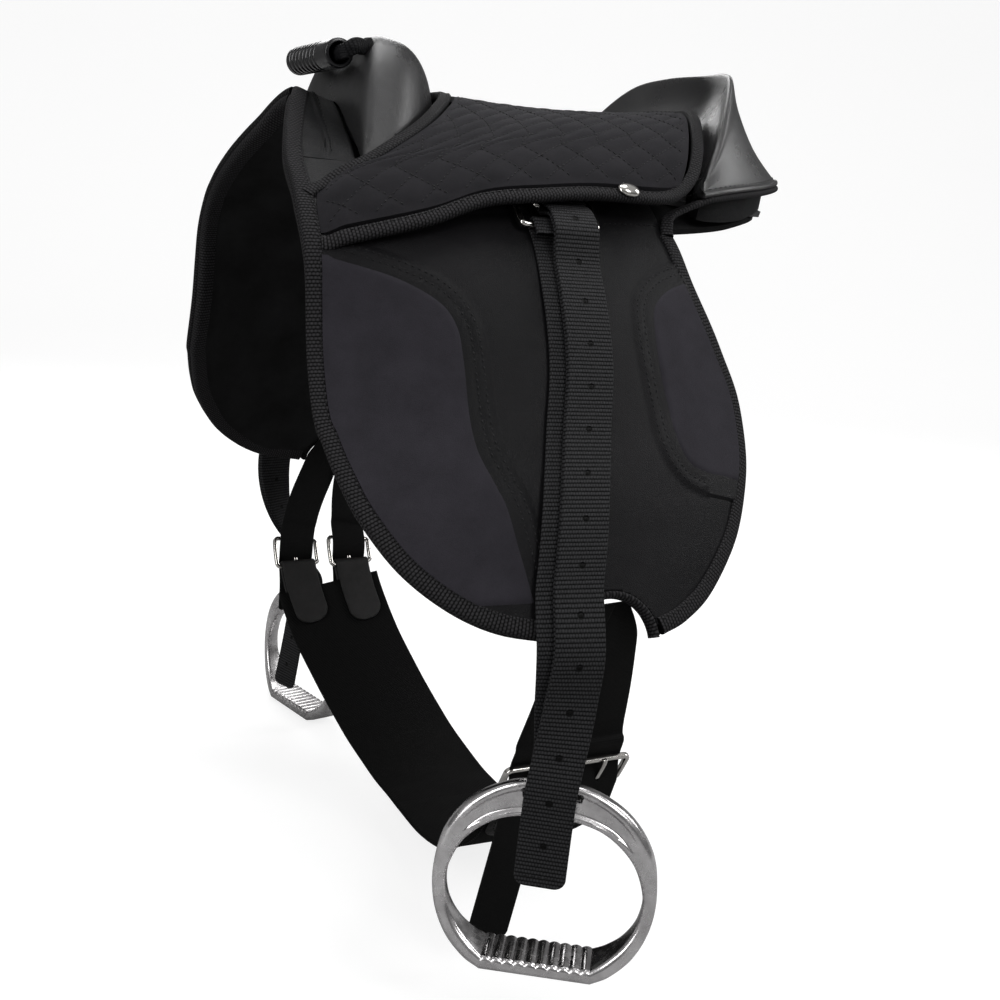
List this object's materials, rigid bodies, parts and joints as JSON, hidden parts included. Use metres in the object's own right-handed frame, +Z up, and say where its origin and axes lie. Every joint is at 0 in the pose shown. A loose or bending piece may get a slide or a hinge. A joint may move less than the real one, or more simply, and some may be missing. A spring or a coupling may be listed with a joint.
{
  "type": "pony saddle",
  "caption": "Small pony saddle with a grab handle, quilted seat, curved side flaps, stirrup irons on webbing straps and a buckled girth.",
  "frame": {"origin": "underside of the pads on the centre line at mid-saddle, where it sits on the pony's back", "axes": "+X to the rear, -Y to the near (left) side, +Z up"},
  "size_m": [0.3326, 0.5231, 0.4905],
  "materials": {
    "suede": "matte suede, quilted",
    "knee_suede": "matte suede",
    "synthetic_leather": "smooth semi-matte",
    "moulded_pu": "semi-gloss moulded",
    "webbing": "ribbed webbing",
    "binding_tape": "ribbed tape",
    "lining": "plain",
    "foam": "matte foam",
    "tree_plastic": "plain",
    "grip_rubber": "matte ribbed",
    "leather": "semi-matte",
    "aluminium": "polished cast",
    "steel": "bright"
  },
  "bodies": {
    "saddle": {"cantle_binding": "binding_tape", "cantle_shell": "moulded_pu", "cantle_under_panel": "lining", "flap_far": "synthetic_leather", "flap_near": "synthetic_leather", "front_binding_far": "binding_tape", "front_binding_near": "binding_tape", "gullet_strip": "webbing", "knee_patch_far": "knee_suede", "knee_patch_near": "knee_suede", "notch_binding_far": "binding_tape", "notch_binding_near": "binding_tape", "pad_far": "lining", "pad_near": "lining", "pommel_front_panel": "synthetic_leather", "pommel_shell": "moulded_pu", "rear_binding_far": "binding_tape", "rear_binding_near": "binding_tape", "seat_binding": "binding_tape", "seat_cover": "suede", "seat_foam": "foam", "stud_far": "steel", "stud_near": "steel", "thigh_patch_far": "knee_suede", "thigh_patch_near": "knee_suede", "tree": "tree_plastic"},
    "leather_near": {"stirrup_ring_near": "steel", "stirrup_strap_near": "webbing", "strap_buckle_near": "steel", "strap_tongue_near": "steel"},
    "leather_far": {"stirrup_ring_far": "steel", "stirrup_strap_far": "webbing", "strap_buckle_far": "steel", "strap_tongue_far": "steel"},
    "iron_near": {"stirrup_iron_near": "aluminium"},
    "iron_far": {"stirrup_iron_far": "aluminium"},
    "girth": {"girth_band": "webbing", "girth_billet_far_front": "webbing", "girth_billet_far_rear": "webbing", "girth_billet_near_front": "webbing", "girth_billet_near_rear": "webbing", "girth_buckle_far_front": "steel", "girth_buckle_far_rear": "steel", "girth_buckle_near_front": "steel", "girth_buckle_near_rear": "steel", "girth_tab_far_front": "leather", "girth_tab_far_rear": "leather", "girth_tab_near_front": "leather", "girth_tab_near_rear": "leather", "girth_tongue_far_front": "steel", "girth_tongue_far_rear": "steel", "girth_tongue_near_front": "steel", "girth_tongue_near_rear": "steel"},
    "handle": {"handle_grip": "grip_rubber", "handle_webbing": "webbing"}
  },
  "joints": [
    {"name": "near_leather_swing", "type": "hinge", "parent": "saddle", "child": "leather_near", "pos_m": [-0.00997, -0.09873, -0.00543], "axis": [0, 0.6691, -0.7431], "range_deg": [-14, 10]},
    {"name": "far_leather_swing", "type": "hinge", "parent": "saddle", "child": "leather_far", "pos_m": [-0.00997, 0.09873, -0.00543], "axis": [0, 0.6691, 0.7431], "range_deg": [-14, 10]},
    {"name": "near_iron_tilt", "type": "hinge", "parent": "leather_near", "child": "iron_near", "pos_m": [-0.0447, -0.22729, -0.278], "axis": [0.8476, -0.5306, 0], "range_deg": [-8, 14]},
    {"name": "far_iron_tilt", "type": "hinge", "parent": "leather_far", "child": "iron_far", "pos_m": [-0.03085, 0.21054, -0.319], "axis": [0.2419, -0.9703, 0], "range_deg": [-8, 14]},
    {"name": "girth_swing", "type": "hinge", "parent": "saddle", "child": "girth", "pos_m": [-0.014, 0, -0.2], "axis": [0, 1, 0], "range_deg": [-8, 4]},
    {"name": "handle_flop", "type": "hinge", "parent": "saddle", "child": "handle", "pos_m": [-0.091, 0, 0.06692], "axis": [0, 1, 0], "range_deg": [0, 60]}
  ]
}
